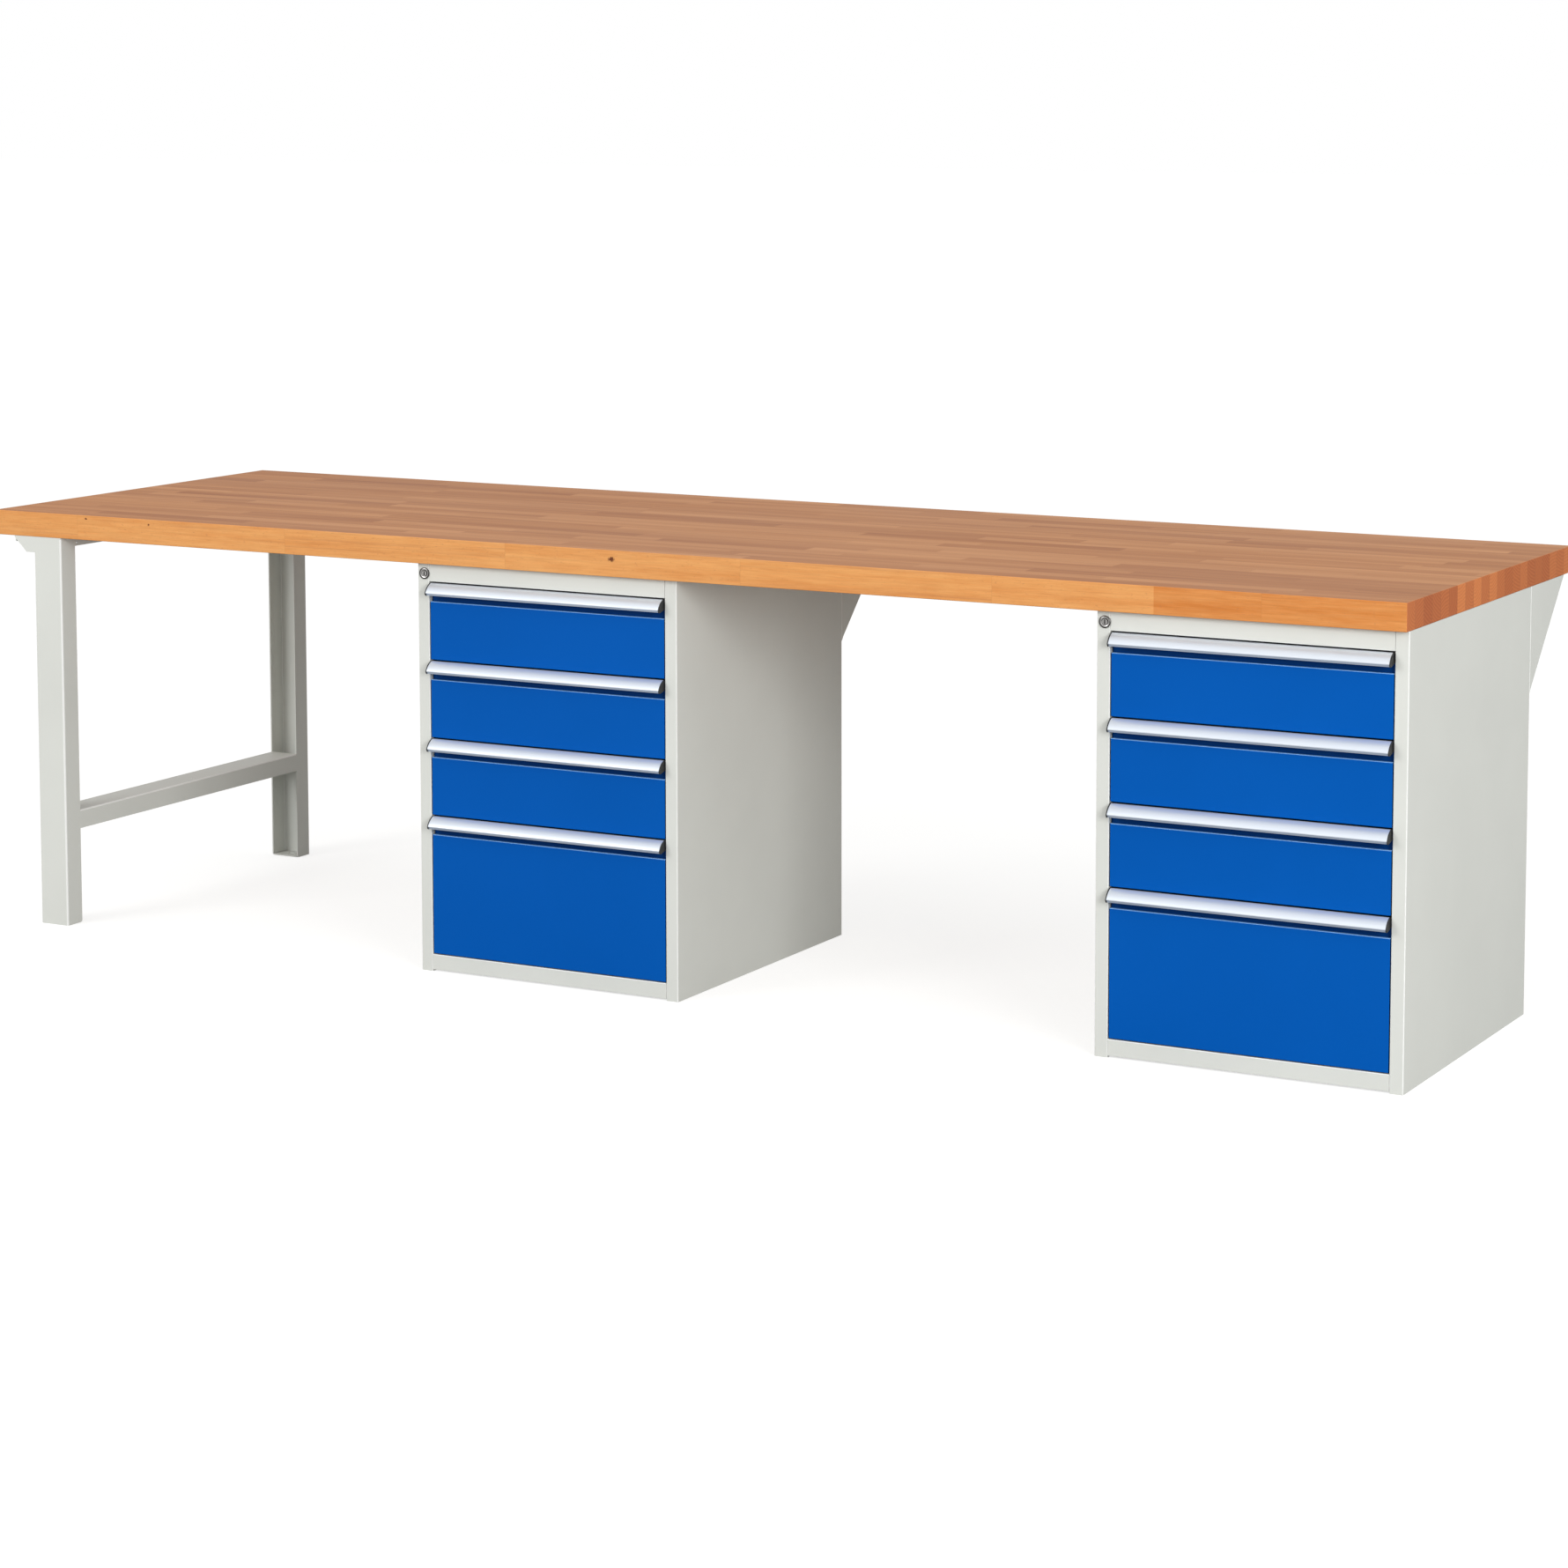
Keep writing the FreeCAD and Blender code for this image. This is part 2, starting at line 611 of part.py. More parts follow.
def channel(wall, near, far, half, level):
    """Corners of a channel section that opens towards larger X."""
    return [
        (near, level - half),
        (far, level - half),
        (far, level - half + wall),
        (near + wall, level - half + wall),
        (near + wall, level + half - wall),
        (far, level + half - wall),
        (far, level + half),
        (near, level + half),
    ]


def make_fixed_rails(node, at):
    """Outer runners on both sides of the cabinet, one pair for each drawer."""
    body = new_body(node, at)
    lowest = d.first_drawer_top - d.small_pitch * (DRAWERS - 1) - d.runner_drop
    section = new_sketch(body, "XZ_Plane", d.fixed_start)
    for flip in (False, True):
        corners = channel(d.sheet, d.sheet, d.fixed_reach, d.fixed_half, lowest)
        outline(section, mirrored(corners, flip))
    runners = pad(body, section, d.fixed_length)
    repeat_up(body, runners, d.small_pitch)


def make_lock(side, at):
    """Cylinder lock in the left jamb, its turning plug with a crank, and the bar it lifts."""
    axis_at = (at[0] + d.lock_inset, at[1], at[2] + d.lock_level)
    bore = d.plug_radius + d.plug_clearance
    barrel = new_body(f"{side}_lock_barrel", axis_at)
    section = new_sketch(barrel, "XY_Plane")
    corners = [
        (bore, -d.lock_rim),
        (d.lock_flange, -d.lock_rim),
        (d.lock_flange, ZERO),
        (d.lock_body, ZERO),
        (d.lock_body, d.lock_length),
        (bore, d.lock_length),
    ]
    outline(section, corners)
    revolve(barrel, section)

    plug = new_body(f"{side}_lock_plug", axis_at)
    section = new_sketch(plug, "XY_Plane")
    front = -(d.lock_rim + d.plug_proud)
    rectangle(section, (ZERO, front), (d.plug_radius, d.plug_length))
    revolve(plug, section)
    arm = new_sketch(plug, "XZ_Plane", d.plug_length)
    half = d.crank_half
    rectangle(arm, (-(d.crank_radius + half), -half), (half, half))
    pad(plug, arm, d.crank_thickness)
    pin = new_sketch(plug, "XZ_Plane", d.plug_length + d.crank_thickness)
    circles(pin, [(-d.crank_radius, ZERO)], d.pin_radius)
    pad(plug, pin, d.pin_length)
    slot = new_sketch(plug, "XZ_Plane", front)
    across, up = d.key_slot_width * 0.5, d.key_slot_height * 0.5
    rectangle(slot, (-across, -up), (across, up))
    pocket(plug, slot, d.key_slot_depth)

    bar = new_body(f"{side}_lock_bar", at)
    strip = new_sketch(bar, "XZ_Plane", d.bar_start)
    rectangle(strip, (d.bar_near, d.bar_low), (d.bar_far, d.bar_high))
    pad(bar, strip, d.bar_thickness)
    lowest = d.first_drawer_top - d.small_pitch * (DRAWERS - 1) - d.tab_drop
    tab = new_sketch(bar, "XZ_Plane", d.bar_start)
    rectangle(tab, (d.bar_far - d.bar_thickness, lowest), (d.tab_far, lowest + d.catch_height))
    repeat_up(bar, pad(bar, tab, d.bar_thickness), d.small_pitch)
    window = new_sketch(bar, "XZ_Plane", d.bar_start)
    room = d.pin_radius + d.window_gap
    low = (d.lock_inset - d.crank_radius - room, d.lock_level - room)
    high = (d.lock_inset + room, d.lock_level + d.pin_radius + d.window_rise)
    rectangle(window, low, high)
    pocket(bar, window, d.bar_thickness)


def make_drawer_front(node, at, height):
    """Folded front: face, ledge, recess plate behind the grip, and returns round the face."""
    body = new_body(node, at)
    wall = d.sheet
    face, bottom = d.front_inset, -height
    back = d.recess_depth + wall
    start = d.jamb_width + d.side_reveal
    section = new_sketch(body, "YZ_Plane", start)
    corners = [
        (face, bottom),
        (d.front_hem, bottom),
        (d.front_hem, bottom + wall),
        (face + wall, bottom + wall),
        (face + wall, -(d.fold_drop + wall)),
        (back, -(d.fold_drop + wall)),
        (back, -d.plate_drop),
        (d.recess_depth, -d.plate_drop),
        (d.recess_depth, -d.fold_drop),
        (face, -d.fold_drop),
    ]
    outline(section, corners)
    pad(body, section, d.cabinet_width - start * 2)
    returns = new_sketch(body, "XZ_Plane", face + wall)
    low, high = (start, bottom + wall), (start + wall, -(d.fold_drop + wall))
    rectangle(returns, low, high)
    far = d.cabinet_width - start
    rectangle(returns, (far - wall, low[1]), (far, high[1]))
    pad(body, returns, d.front_hem - face - wall)
    round_edges(body, "x", [(face, -d.fold_drop), (face, bottom)], d.fold_bend)
    width_ends = [(start, face), (far, face)]
    round_edges(body, "z", width_ends, d.fold_bend)


def make_drawer_grip(node, at):
    """Extruded aluminium grip: curved face, nose, lower lip and a screwed flange behind."""
    body = new_body(node, at)
    wall = d.grip_wall
    start = d.jamb_width + d.side_reveal + d.cap_thickness
    tip, back = -d.grip_reach, d.recess_depth
    top, nose = -d.grip_top, -d.grip_nose
    section = new_sketch(body, "YZ_Plane", start)
    corners = [
        (back + d.sheet, top),
        (d.grip_shoulder, top, d.grip_curve),
        (tip, nose),
        (tip, nose - wall),
        (tip + wall, nose - wall),
        (tip + wall, -d.grip_lip),
        (tip + wall * 2, -d.grip_lip),
        (tip + wall * 2, nose + wall * 0.5),
        (d.grip_shoulder - wall * 0.5, top - wall),
        (back - wall, top - wall),
        (back - wall, -d.grip_flange),
        (back, -d.grip_flange),
        (back, top - wall),
        (back + d.sheet, top - wall),
    ]
    outline(section, corners)
    pad(body, section, d.cabinet_width - start * 2)
    round_edges(body, "x", [(tip, nose), (tip, nose - wall)], wall * 0.4)


def make_drawer_tray(node, at, height):
    """Open steel tray with its own runners welded on and a catch for the lock bar."""
    body = new_body(node, at)
    bottom = d.tray_lift - height
    wall, near = d.tray_sheet, d.tray_inset
    far, front = d.cabinet_width - near, d.recess_depth + d.sheet
    block = new_sketch(body, "XY_Plane", bottom)
    rectangle(block, (near, front), (far, d.tray_end))
    pad(body, block, -d.tray_drop - bottom)
    hollow = new_sketch(body, "XY_Plane", bottom + wall)
    rectangle(hollow, (near + wall, front + wall), (far - wall, d.tray_end - wall))
    pocket(body, hollow, -d.tray_drop - bottom)
    runners = new_sketch(body, "XZ_Plane", d.fixed_start)
    low, high = -d.runner_drop - d.inner_half, -d.runner_drop + d.inner_half
    rectangle(runners, (d.inner_near, low), (near, high))
    rectangle(runners, (far, low), (d.cabinet_width - d.inner_near, high))
    pad(body, runners, d.tray_end - d.fixed_start)
    catch = new_sketch(body, "XZ_Plane", d.catch_start)
    rectangle(catch, (d.catch_near, -d.catch_drop), (near, d.catch_height - d.catch_drop))
    pad(body, catch, d.catch_length)


def make_mid_rails(node, at):
    """Middle runners of the telescopic pair, inside the fixed ones and round the tray's own."""
    body = new_body(node, at)
    section = new_sketch(body, "XZ_Plane", d.mid_start)
    for flip in (False, True):
        corners = channel(d.sheet, d.mid_near, d.mid_far, d.mid_half, -d.runner_drop)
        outline(section, mirrored(corners, flip))
    pad(body, section, d.mid_length)


def make_cabinet(side):
    """One drawer cabinet with its lock and its four drawers."""
    left = CABINET_LEFT[side]
    at = (BENCH_LEFT + left, BENCH_FRONT + d.cabinet_setback, ZERO)
    make_side(f"{side}_side_left", at, False)
    make_side(f"{side}_side_right", at, True)
    make_back(f"{side}_back", at)
    lid = new_body(f"{side}_lid", at)
    make_front_rail_panel(lid, d.top_rail_low, FRAME_HEIGHT, True)
    screw_holes(lid, f"{side}_lid", (left, d.cabinet_setback), FRAME_HEIGHT - d.sheet, d.sheet)
    base = new_body(f"{side}_base", at)
    make_front_rail_panel(base, d.bottom_rail_low, d.bottom_rail_high, False)
    make_gusset(f"{side}_gusset", at)
    gusset = doc.getObject(f"{side}_gusset")
    shift = (left, d.cabinet_setback)
    screw_holes(gusset, f"{side}_gusset", shift, FRAME_HEIGHT - d.sheet, d.sheet)
    make_fixed_rails(f"{side}_fixed_rails", at)
    make_lock(side, at)
    for number in range(DRAWERS):
        height = d.large_pitch if number == DRAWERS - 1 else d.small_pitch
        drawer = f"{side}_drawer_{number + 1}"
        drawer_at = (at[0], at[1], d.first_drawer_top - d.small_pitch * number)
        make_drawer_front(f"{drawer}_front", drawer_at, height)
        make_drawer_grip(f"{drawer}_grip", drawer_at)
        make_drawer_tray(f"{drawer}_tray", drawer_at, height)
        make_mid_rails(f"{drawer}_mid_rails", drawer_at)


def export_parts():
    """Check the whole document, then write one STEP file for each sub-part."""
    doc.recompute()
    for item in doc.Objects:
        if "Invalid" in item.State or "Error" in item.State:
            raise RuntimeError(f"{item.Name} failed: {item.State}")
    bodies = [item for item in doc.Objects if item.TypeId == "PartDesign::Body"]
    os.makedirs("parts", exist_ok=True)
    for item in bodies + [doc.getObject("worktop_screws")]:
        if item.Shape.isNull() or not item.Shape.isValid():
            raise RuntimeError(f"{item.Label} has no valid shape")
        item.Shape.exportStep(f"parts/{item.Label}.step")


make_worktop()
make_worktop_screws()
make_leg("leg_front", False)
make_leg("leg_rear", True)
make_leg_foot_plates()
make_leg_cross_rail()
make_leg_bearer()
for cabinet_side in CABINET_LEFT:
    make_cabinet(cabinet_side)
export_parts()
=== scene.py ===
# Workbench: a glued beech board on a steel leg frame and two drawer cabinets.
# Lengths are in metres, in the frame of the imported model: +X along the bench, +Y to the back.
import math

import bmesh
import bpy
from mathutils import Matrix, Vector


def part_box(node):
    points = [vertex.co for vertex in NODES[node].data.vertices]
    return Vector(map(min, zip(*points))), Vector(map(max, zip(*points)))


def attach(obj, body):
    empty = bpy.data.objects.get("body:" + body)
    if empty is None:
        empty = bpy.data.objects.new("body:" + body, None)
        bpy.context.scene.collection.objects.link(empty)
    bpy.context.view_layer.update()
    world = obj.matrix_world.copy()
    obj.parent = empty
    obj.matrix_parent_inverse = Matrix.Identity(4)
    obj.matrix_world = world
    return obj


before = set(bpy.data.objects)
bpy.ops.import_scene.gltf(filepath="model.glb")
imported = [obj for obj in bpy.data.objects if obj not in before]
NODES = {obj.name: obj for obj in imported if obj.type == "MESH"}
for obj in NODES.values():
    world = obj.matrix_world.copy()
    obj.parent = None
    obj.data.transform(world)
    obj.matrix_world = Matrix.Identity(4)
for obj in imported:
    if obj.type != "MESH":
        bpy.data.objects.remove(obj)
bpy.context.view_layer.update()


# ---------------------------------------------------------------------------------------------
# Worktop: one thick board glued up from narrow beech staves, each made of shorter lengths.
# It is sanded, its edges are lightly softened and it is finished with a matt oil.
# ---------------------------------------------------------------------------------------------
MM = 0.001
STAVE_WIDTH = 42.9 * MM
STAVES_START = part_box("worktop")[0].y - 3 * MM
BEECH_PALE = (0.720, 0.355, 0.165)
BEECH_MID = (0.565, 0.252, 0.110)
BEECH_RED = (0.405, 0.160, 0.070)
BEECH_EDGE_PALE = (0.830, 0.410, 0.140)
BEECH_EDGE_DEEP = (0.620, 0.205, 0.042)
BEECH_END_PALE = (0.720, 0.240, 0.075)
BEECH_END_DEEP = (0.380, 0.095, 0.032)
BEECH_KNOT = (0.150, 0.040, 0.013)
GLUE_LINE = (0.215, 0.095, 0.045)
# From this X on, the last length of the long edges is of redder wood.
RED_LENGTH_FROM = 1.042
# Knots on the front edge: the X, Z and size of each.
KNOTS = (
    (-0.0455, 0.8232, 0.0045),
    (-1.2698, 0.8332, 0.0018),
    (-1.1134, 0.8293, 0.0018),
)


def add(tree, kind, inputs=None, **settings):
    """Add a node, set its own settings, and feed each input a value or another node's output."""
    made = tree.nodes.new(kind)
    for name, value in settings.items():
        setattr(made, name, value)
    for key, value in (inputs or {}).items():
        if isinstance(value, bpy.types.NodeSocket):
            tree.links.new(value, made.inputs[key])
        else:
            made.inputs[key].default_value = value
    return made


def calc(tree, operation, *values):
    """Output of one Math node."""
    return add(tree, "ShaderNodeMath", dict(enumerate(values)), operation=operation).outputs[0]


def grey(tree, value):
    """A value as a colour with three equal parts."""
    return add(tree, "ShaderNodeCombineXYZ", {0: value, 1: value, 2: value}).outputs[0]


def stretched(tree, point, scale):
    """A point multiplied by a scale along each axis."""
    inputs = {0: point, 1: scale}
    return add(tree, "ShaderNodeVectorMath", inputs, operation="MULTIPLY").outputs[0]


def split(tree, vector):
    """The X, Y and Z of a vector."""
    return add(tree, "ShaderNodeSeparateXYZ", {0: vector}).outputs


def noise(tree, point, scale, detail=3.0, roughness=0.5):
    """Value of a fractal noise at a point."""
    inputs = {"Vector": point, "Scale": scale, "Detail": detail, "Roughness": roughness}
    return add(tree, "ShaderNodeTexNoise", inputs).outputs["Fac"]


def between(tree, value, low, high, out_low=0.0, out_high=1.0):
    """Output of a Map Range node, clamped at both ends."""
    inputs = {0: value, 1: low, 2: high, 3: out_low, 4: out_high}
    return add(tree, "ShaderNodeMapRange", inputs).outputs[0]


def mixed(tree, amount, first, second, blend="MIX"):
    """A colour between two others, each given as three numbers or as an output."""

    def full(colour):
        return colour if isinstance(colour, bpy.types.NodeSocket) else (*colour, 1.0)

    inputs = {0: amount, 6: full(first), 7: full(second)}
    made = add(tree, "ShaderNodeMix", inputs, data_type="RGBA", blend_type=blend)
    return made.outputs[2]


def new_group(name, inputs, outputs):
    """A shader group with the named float or vector sockets; returns it and its two ends."""
    tree = bpy.data.node_groups.new(name, "ShaderNodeTree")
    for socket, kind in inputs:
        tree.interface.new_socket(socket, in_out="INPUT", socket_type=f"NodeSocket{kind}")
    for socket, kind in outputs:
        tree.interface.new_socket(socket, in_out="OUTPUT", socket_type=f"NodeSocket{kind}")
    return tree, tree.nodes.new("NodeGroupInput"), tree.nodes.new("NodeGroupOutput")


def use_group(tree, group, **inputs):
    """Place a group in a material and feed its inputs; returns its outputs."""
    return add(tree, "ShaderNodeGroup", inputs, node_tree=group).outputs


def new_material(name):
    """An empty material with its shader node; returns it, its tree and the shader."""
    material = bpy.data.materials.new(name)
    material.use_nodes = True
    tree = material.node_tree
    return material, tree, tree.nodes["Principled BSDF"]


def own_point(tree):
    """The point in the piece's own frame, in metres."""
    return add(tree, "ShaderNodeTexCoord").outputs["Object"]


def own_facing(tree):
    """The way the surface faces, in the piece's own frame."""
    return add(tree, "ShaderNodeTexCoord").outputs["Normal"]


def raised(tree, shader, height, strength, distance):
    """Bump the shader's normal with a height."""
    inputs = {"Height": height, "Strength": strength, "Distance": distance}
    tree.links.new(add(tree, "ShaderNodeBump", inputs).outputs[0], shader.inputs["Normal"])


def dress(node, material):
    """Give a carried-over part its material."""
    for place in NODES[node].material_slots:
        place.material = material


def stave_group():
    """Which stave and which length of it a point lies in, and how near it is to a glue line."""
    outputs = [("Tone", "Float"), ("Twist", "Float"), ("Glue", "Float"), ("Rings", "Float")]
    tree, given, result = new_group("beech_staves", [("Point", "Vector")], outputs)
    x, y, z = split(tree, given.outputs["Point"])
    across = calc(tree, "DIVIDE", calc(tree, "SUBTRACT", y, STAVES_START), STAVE_WIDTH)
    stave = calc(tree, "FLOOR", across)
    seed = add(tree, "ShaderNodeTexWhiteNoise", {1: stave}, noise_dimensions="1D").outputs[0]
    length = between(tree, seed, 0, 1, 0.32, 0.64)
    along = calc(tree, "ADD", calc(tree, "DIVIDE", x, length), calc(tree, "MULTIPLY", seed, 37.0))
    block = add(tree, "ShaderNodeCombineXYZ", {0: calc(tree, "FLOOR", along), 1: stave}).outputs[0]
    tone = add(tree, "ShaderNodeTexWhiteNoise", {0: block}, noise_dimensions="3D").outputs[0]
    tree.links.new(tone, result.inputs["Tone"])
    tree.links.new(calc(tree, "MULTIPLY", tone, 19.0), result.inputs["Twist"])
    side_gap = calc(tree, "PINGPONG", across, 0.5)
    end_gap = calc(tree, "MULTIPLY", calc(tree, "PINGPONG", along, 0.5), 10.0)
    side_line = between(tree, side_gap, 0.006, 0.020, 1, 0)
    end_line = between(tree, end_gap, 0.004, 0.014, 0.3, 0)
    tree.links.new(calc(tree, "MAXIMUM", side_line, end_line), result.inputs["Glue"])

    # Growth rings: arcs about a pith that lies outside the stave, above or below it.
    off_side = calc(tree, "SUBTRACT", calc(tree, "FRACT", across), calc(tree, "MULTIPLY", tone, 2.0))
    pith = between(tree, seed, 0, 1, 0.68, 0.95)
    depth = calc(tree, "DIVIDE", calc(tree, "SUBTRACT", z, pith), STAVE_WIDTH)
    radius = calc(tree, "SQRT", calc(tree, "ADD", calc(tree, "POWER", off_side, 2.0),
                                     calc(tree, "MULTIPLY", depth, depth)))
    wander = noise(tree, stretched(tree, given.outputs["Point"], (2, 40, 40)), 1.0, 2)
    turns = calc(tree, "ADD", calc(tree, "MULTIPLY", radius, 14.0), calc(tree, "MULTIPLY", wander, 2.5))
    tree.links.new(calc(tree, "PINGPONG", turns, 1.0), result.inputs["Rings"])
    return tree


def knot_mask(tree, point):
    """Small round knots centred just ahead of the front edge, each with an uneven rim."""
    uneven = noise(tree, point, 400.0, 2)
    nearest = None
    for x, z, size in KNOTS:
        centre = {0: point, 1: (x, STAVES_START, z)}
        offset = add(tree, "ShaderNodeVectorMath", centre, operation="SUBTRACT")
        oval = stretched(tree, offset.outputs[0], (0.7, 0.2, 1.0))
        length = add(tree, "ShaderNodeVectorMath", {0: oval}, operation="LENGTH").outputs["Value"]
        reach = calc(tree, "DIVIDE", length, calc(tree, "MULTIPLY", uneven, 2.0 * size))
        nearest = reach if nearest is None else calc(tree, "MINIMUM", nearest, reach)
    return between(tree, nearest, 0.6, 1.3, 1, 0)


def beech():
    """Oiled beech: pinkish on the sawn faces, golden on the long edges, red on the end grain."""
    material, tree, shader = new_material("oiled_beech")
    point = own_point(tree)
    staves = use_group(tree, stave_group(), Point=point)
    turned = grey(tree, staves["Twist"])
    moved = add(tree, "ShaderNodeVectorMath", {0: point, 1: turned}).outputs[0]
    figure = between(tree, noise(tree, stretched(tree, moved, (1.3, 30, 46)), 1.0, 5, 0.62), 0.3, 0.7)
    fibre = noise(tree, stretched(tree, moved, (12, 560, 560)), 1.0, 3, 0.6)
    streak = between(tree, noise(tree, stretched(tree, moved, (2.2, 190, 190)), 1.0, 2), 0.58, 0.78)
    fleck = between(tree, noise(tree, stretched(tree, moved, (150, 1500, 420)), 1.0, 2), 0.62, 0.74)
    cloud = noise(tree, stretched(tree, point, (1.2, 3.0, 3.0)), 1.0, 2)

    tone = calc(tree, "ADD", calc(tree, "MULTIPLY", staves["Tone"], 0.48),
                calc(tree, "MULTIPLY", figure, 0.46))
    flat = mixed(tree, between(tree, tone, 0.05, 0.5), BEECH_PALE, BEECH_MID)
    flat = mixed(tree, between(tree, tone, 0.5, 0.95), flat, BEECH_RED)
    curl = noise(tree, stretched(tree, moved, (16, 30, 150)), 1.0, 4, 0.65)
    curl = between(tree, curl, 0.32, 0.68, 0.0, 0.35)
    edge_figure = calc(tree, "ADD", calc(tree, "MULTIPLY", figure, 0.50), curl)
    x = split(tree, point)[0]
    redder = between(tree, x, RED_LENGTH_FROM, RED_LENGTH_FROM + MM, 0.0, 0.42)
    edge_tone = calc(tree, "ADD", calc(tree, "MULTIPLY", edge_figure, 0.85), redder)
    edge = mixed(tree, edge_tone, BEECH_EDGE_PALE, BEECH_EDGE_DEEP)
    end_tone = calc(tree, "ADD", calc(tree, "MULTIPLY", staves["Tone"], 0.72),
                    calc(tree, "MULTIPLY", staves["Rings"], 0.28))
    end = mixed(tree, end_tone, BEECH_END_PALE, BEECH_END_DEEP)

    facing = own_facing(tree)
    side_x, side_y, _ = split(tree, facing)
    on_edge = between(tree, calc(tree, "ABSOLUTE", side_y), 0.6, 0.8)
    on_end = between(tree, calc(tree, "ABSOLUTE", side_x), 0.6, 0.8)
    colour = mixed(tree, on_end, mixed(tree, on_edge, flat, edge), end)
    colour = mixed(tree, calc(tree, "MULTIPLY", staves["Glue"], 0.45), colour, GLUE_LINE)
    fine = grey(tree, between(tree, fibre, 0.25, 0.75, 0.90, 1.08))
    colour = mixed(tree, 1.0, colour, fine, "MULTIPLY")
    lengthwise = calc(tree, "SUBTRACT", 1.0, on_end)
    for mark, strength in ((streak, 0.34), (fleck, 0.30)):
        amount = calc(tree, "MULTIPLY", calc(tree, "MULTIPLY", mark, strength), lengthwise)
        colour = mixed(tree, amount, colour, BEECH_RED)
    colour = mixed(tree, knot_mask(tree, point), colour, BEECH_KNOT)
    tree.links.new(colour, shader.inputs["Base Color"])
    worn = calc(tree, "ADD", cloud, calc(tree, "MULTIPLY", fibre, 0.4))
    tree.links.new(between(tree, worn, 0.4, 1.0, 0.46, 0.62), shader.inputs["Roughness"])
    shader.inputs["Specular IOR Level"].default_value = 0.22
    raised(tree, shader, calc(tree, "SUBTRACT", fibre, staves["Glue"]), 0.25, 0.0002)
    return material


dress("worktop", beech())


# ---------------------------------------------------------------------------------------------
# Leg frame: channels, cross rail, bearer and foot plates folded from 3 mm steel, welded
# together and powder coated light grey. The coat is finely textured, with a highlight painted
# along the bends.
# ---------------------------------------------------------------------------------------------
LIGHT_GREY = (0.700, 0.712, 0.672)
# The paler grey is a painted highlight along the bends.
LIGHT_GREY_HIGHLIGHT = (0.930, 0.935, 0.920)


def coat_group():
    """Powder coat: fine texture, slight cloudiness, bends, faces turned up, faces to the sides."""
    names = ("Texture", "Cloud", "Bend", "Ledge", "Side")
    outputs = [(name, "Float") for name in names]
    inputs = [("Point", "Vector"), ("Normal", "Vector")]
    tree, given, result = new_group("powder_coat", inputs, outputs)
    fine = noise(tree, given.outputs["Point"], 900.0, 2, 0.5)
    broad = noise(tree, given.outputs["Point"], 3.0, 3, 0.6)
    sides = split(tree, given.outputs["Normal"])
    steep = [calc(tree, "ABSOLUTE", side) for side in sides]
    largest = calc(tree, "MAXIMUM", calc(tree, "MAXIMUM", steep[0], steep[1]), steep[2])
    bend = between(tree, largest, 0.99, 0.93)
    tree.links.new(fine, result.inputs["Texture"])
    tree.links.new(broad, result.inputs["Cloud"])
    tree.links.new(bend, result.inputs["Bend"])
    tree.links.new(between(tree, sides[2], 0.2, 0.5), result.inputs["Ledge"])
    tree.links.new(between(tree, steep[0], 0.8, 0.95), result.inputs["Side"])
    return tree


POWDER_COAT = coat_group()


def powder_coated(name, colour, highlight_colour, roughness, gloss, recess=None):
    """Powder-coated sheet in one colour, with a highlight painted along its bends.

    With a recess, given by the Y of the face and of its back, the highlight is painted along
    the ledge only, and shade is painted at the back of the recess and on the sides of the sheet.
    """
    material, tree, shader = new_material(name)
    point = own_point(tree)
    facing = own_facing(tree)
    coat = use_group(tree, POWDER_COAT, Point=point, Normal=facing)
    shade = grey(tree, between(tree, coat["Cloud"], 0.3, 0.7, 0.97, 1.02))
    base = mixed(tree, 1.0, colour, shade, "MULTIPLY")
    # Painted highlight: the coat is made paler along the bends, or along the ledge where there is a
    # recess.
    pale = calc(tree, "MULTIPLY", coat["Bend"], 0.8)
    if recess:
        y = split(tree, point)[1]
        pale = calc(tree, "MULTIPLY", coat["Ledge"], between(tree, y, *recess, 0.85, 0.15))
        # Painted shade: darker towards the back of the recess and on the sides of the sheet.
        dim = calc(tree, "MINIMUM", between(tree, y, *recess, 1.0, 0.42),
                   between(tree, coat["Side"], 0, 1, 1.0, 0.2))
        base = mixed(tree, 1.0, base, grey(tree, dim), "MULTIPLY")
    base = mixed(tree, pale, base, highlight_colour)
    tree.links.new(base, shader.inputs["Base Color"])
    rough = between(tree, coat["Cloud"], 0.3, 0.7, roughness - 0.03, roughness + 0.03)
    tree.links.new(rough, shader.inputs["Roughness"])
    shader.inputs["Specular IOR Level"].default_value = gloss
    raised(tree, shader, coat["Texture"], 0.12, 0.0002)
    return material


GREY_COAT = powder_coated("light_grey_coat", LIGHT_GREY, LIGHT_GREY_HIGHLIGHT, 0.42, 0.30)
for node in ("leg_front", "leg_rear", "leg_foot_plates", "leg_cross_rail", "leg_bearer"):
    dress(node, GREY_COAT)


# ---------------------------------------------------------------------------------------------
# Worktop screws, drawer runners and lock bars: bright zinc-plated steel, as it comes from
# the plating drum, with a faint rolled streak and a bluish passivation.
# ---------------------------------------------------------------------------------------------
ZINC = (0.560, 0.575, 0.600)
ZINC_DARK = (0.400, 0.410, 0.430)
SIDES = ("left", "right")
DRAWERS = (1, 2, 3, 4)


def zinc_plate():
    """Bright zinc plate, streaked along the runners."""
    material, tree, shader = new_material("zinc_plate")
    point = own_point(tree)
    streak = noise(tree, stretched(tree, point, (260, 14, 260)), 1.0, 3, 0.6)
    spangle = noise(tree, point, 120.0, 2, 0.5)
    blend = calc(tree, "MULTIPLY", calc(tree, "ADD", streak, spangle), 0.5)
    tree.links.new(mixed(tree, between(tree, blend, 0.35, 0.65), ZINC_DARK, ZINC),
                   shader.inputs["Base Color"])
    shader.inputs["Metallic"].default_value = 1.0
    tree.links.new(between(tree, streak, 0.3, 0.7, 0.28, 0.42), shader.inputs["Roughness"])
    raised(tree, shader, streak, 0.10, 0.0001)
    return material


